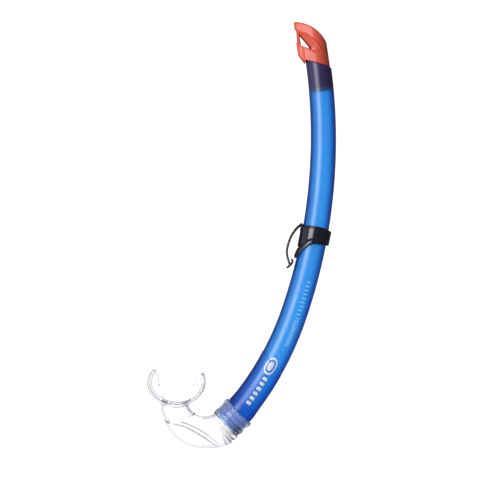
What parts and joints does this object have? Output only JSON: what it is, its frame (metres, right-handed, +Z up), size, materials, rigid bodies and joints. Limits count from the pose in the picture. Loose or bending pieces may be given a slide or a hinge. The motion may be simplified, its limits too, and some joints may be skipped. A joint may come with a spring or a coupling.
{
  "type": "snorkel tube",
  "caption": "J-shaped snorkel: curved translucent barrel with a splash guard, sliding strap keeper with a hook, clear elbow that swivels on the barrel, and a soft mouth bit.",
  "frame": {"origin": "middle of the mouth bit's flange, in the mouth opening", "axes": "+Z up, out of the mouth opening towards the mouth and roughly along the barrel; +X from the mouth towards the barrel; the tube lies in the XZ plane and is symmetric about it"},
  "size_m": [0.1772, 0.0332, 0.4004],
  "materials": {
    "barrel_plastic": "clear tinted blue, glossy",
    "guard_plastic": "smooth moulded orange-red, semi-gloss",
    "keeper_plastic": "black moulded, soft sheen",
    "elbow_clear": "water-clear, glossy",
    "bit_silicone": "clear soft silicone, smooth"
  },
  "bodies": {
    "mouthpiece": {"elbow": "elbow_clear", "mouth_bit": "bit_silicone"},
    "tube": {"barrel": "barrel_plastic", "splash_guard": "guard_plastic"},
    "keeper": {"keeper_band": "keeper_plastic", "keeper_hinge_pin": "keeper_plastic"},
    "hook": {"keeper_hook": "keeper_plastic"}
  },
  "joints": [
    {"name": "barrel_swivel", "type": "hinge", "parent": "mouthpiece", "child": "tube", "pos_m": [0.058, 0, -0.0072], "axis": [0.7314, 0, 0.682], "continuous": true},
    {"name": "keeper_slide", "type": "hinge", "parent": "tube", "child": "keeper", "pos_m": [-0.36977, 0, 0.24979], "axis": [0, 1, 0], "range_deg": [-12, 5.5]},
    {"name": "hook_hinge", "type": "hinge", "parent": "keeper", "child": "hook", "pos_m": [0.1161, 0, 0.168], "axis": [0, 1, 0], "range_deg": [0, 60]}
  ]
}
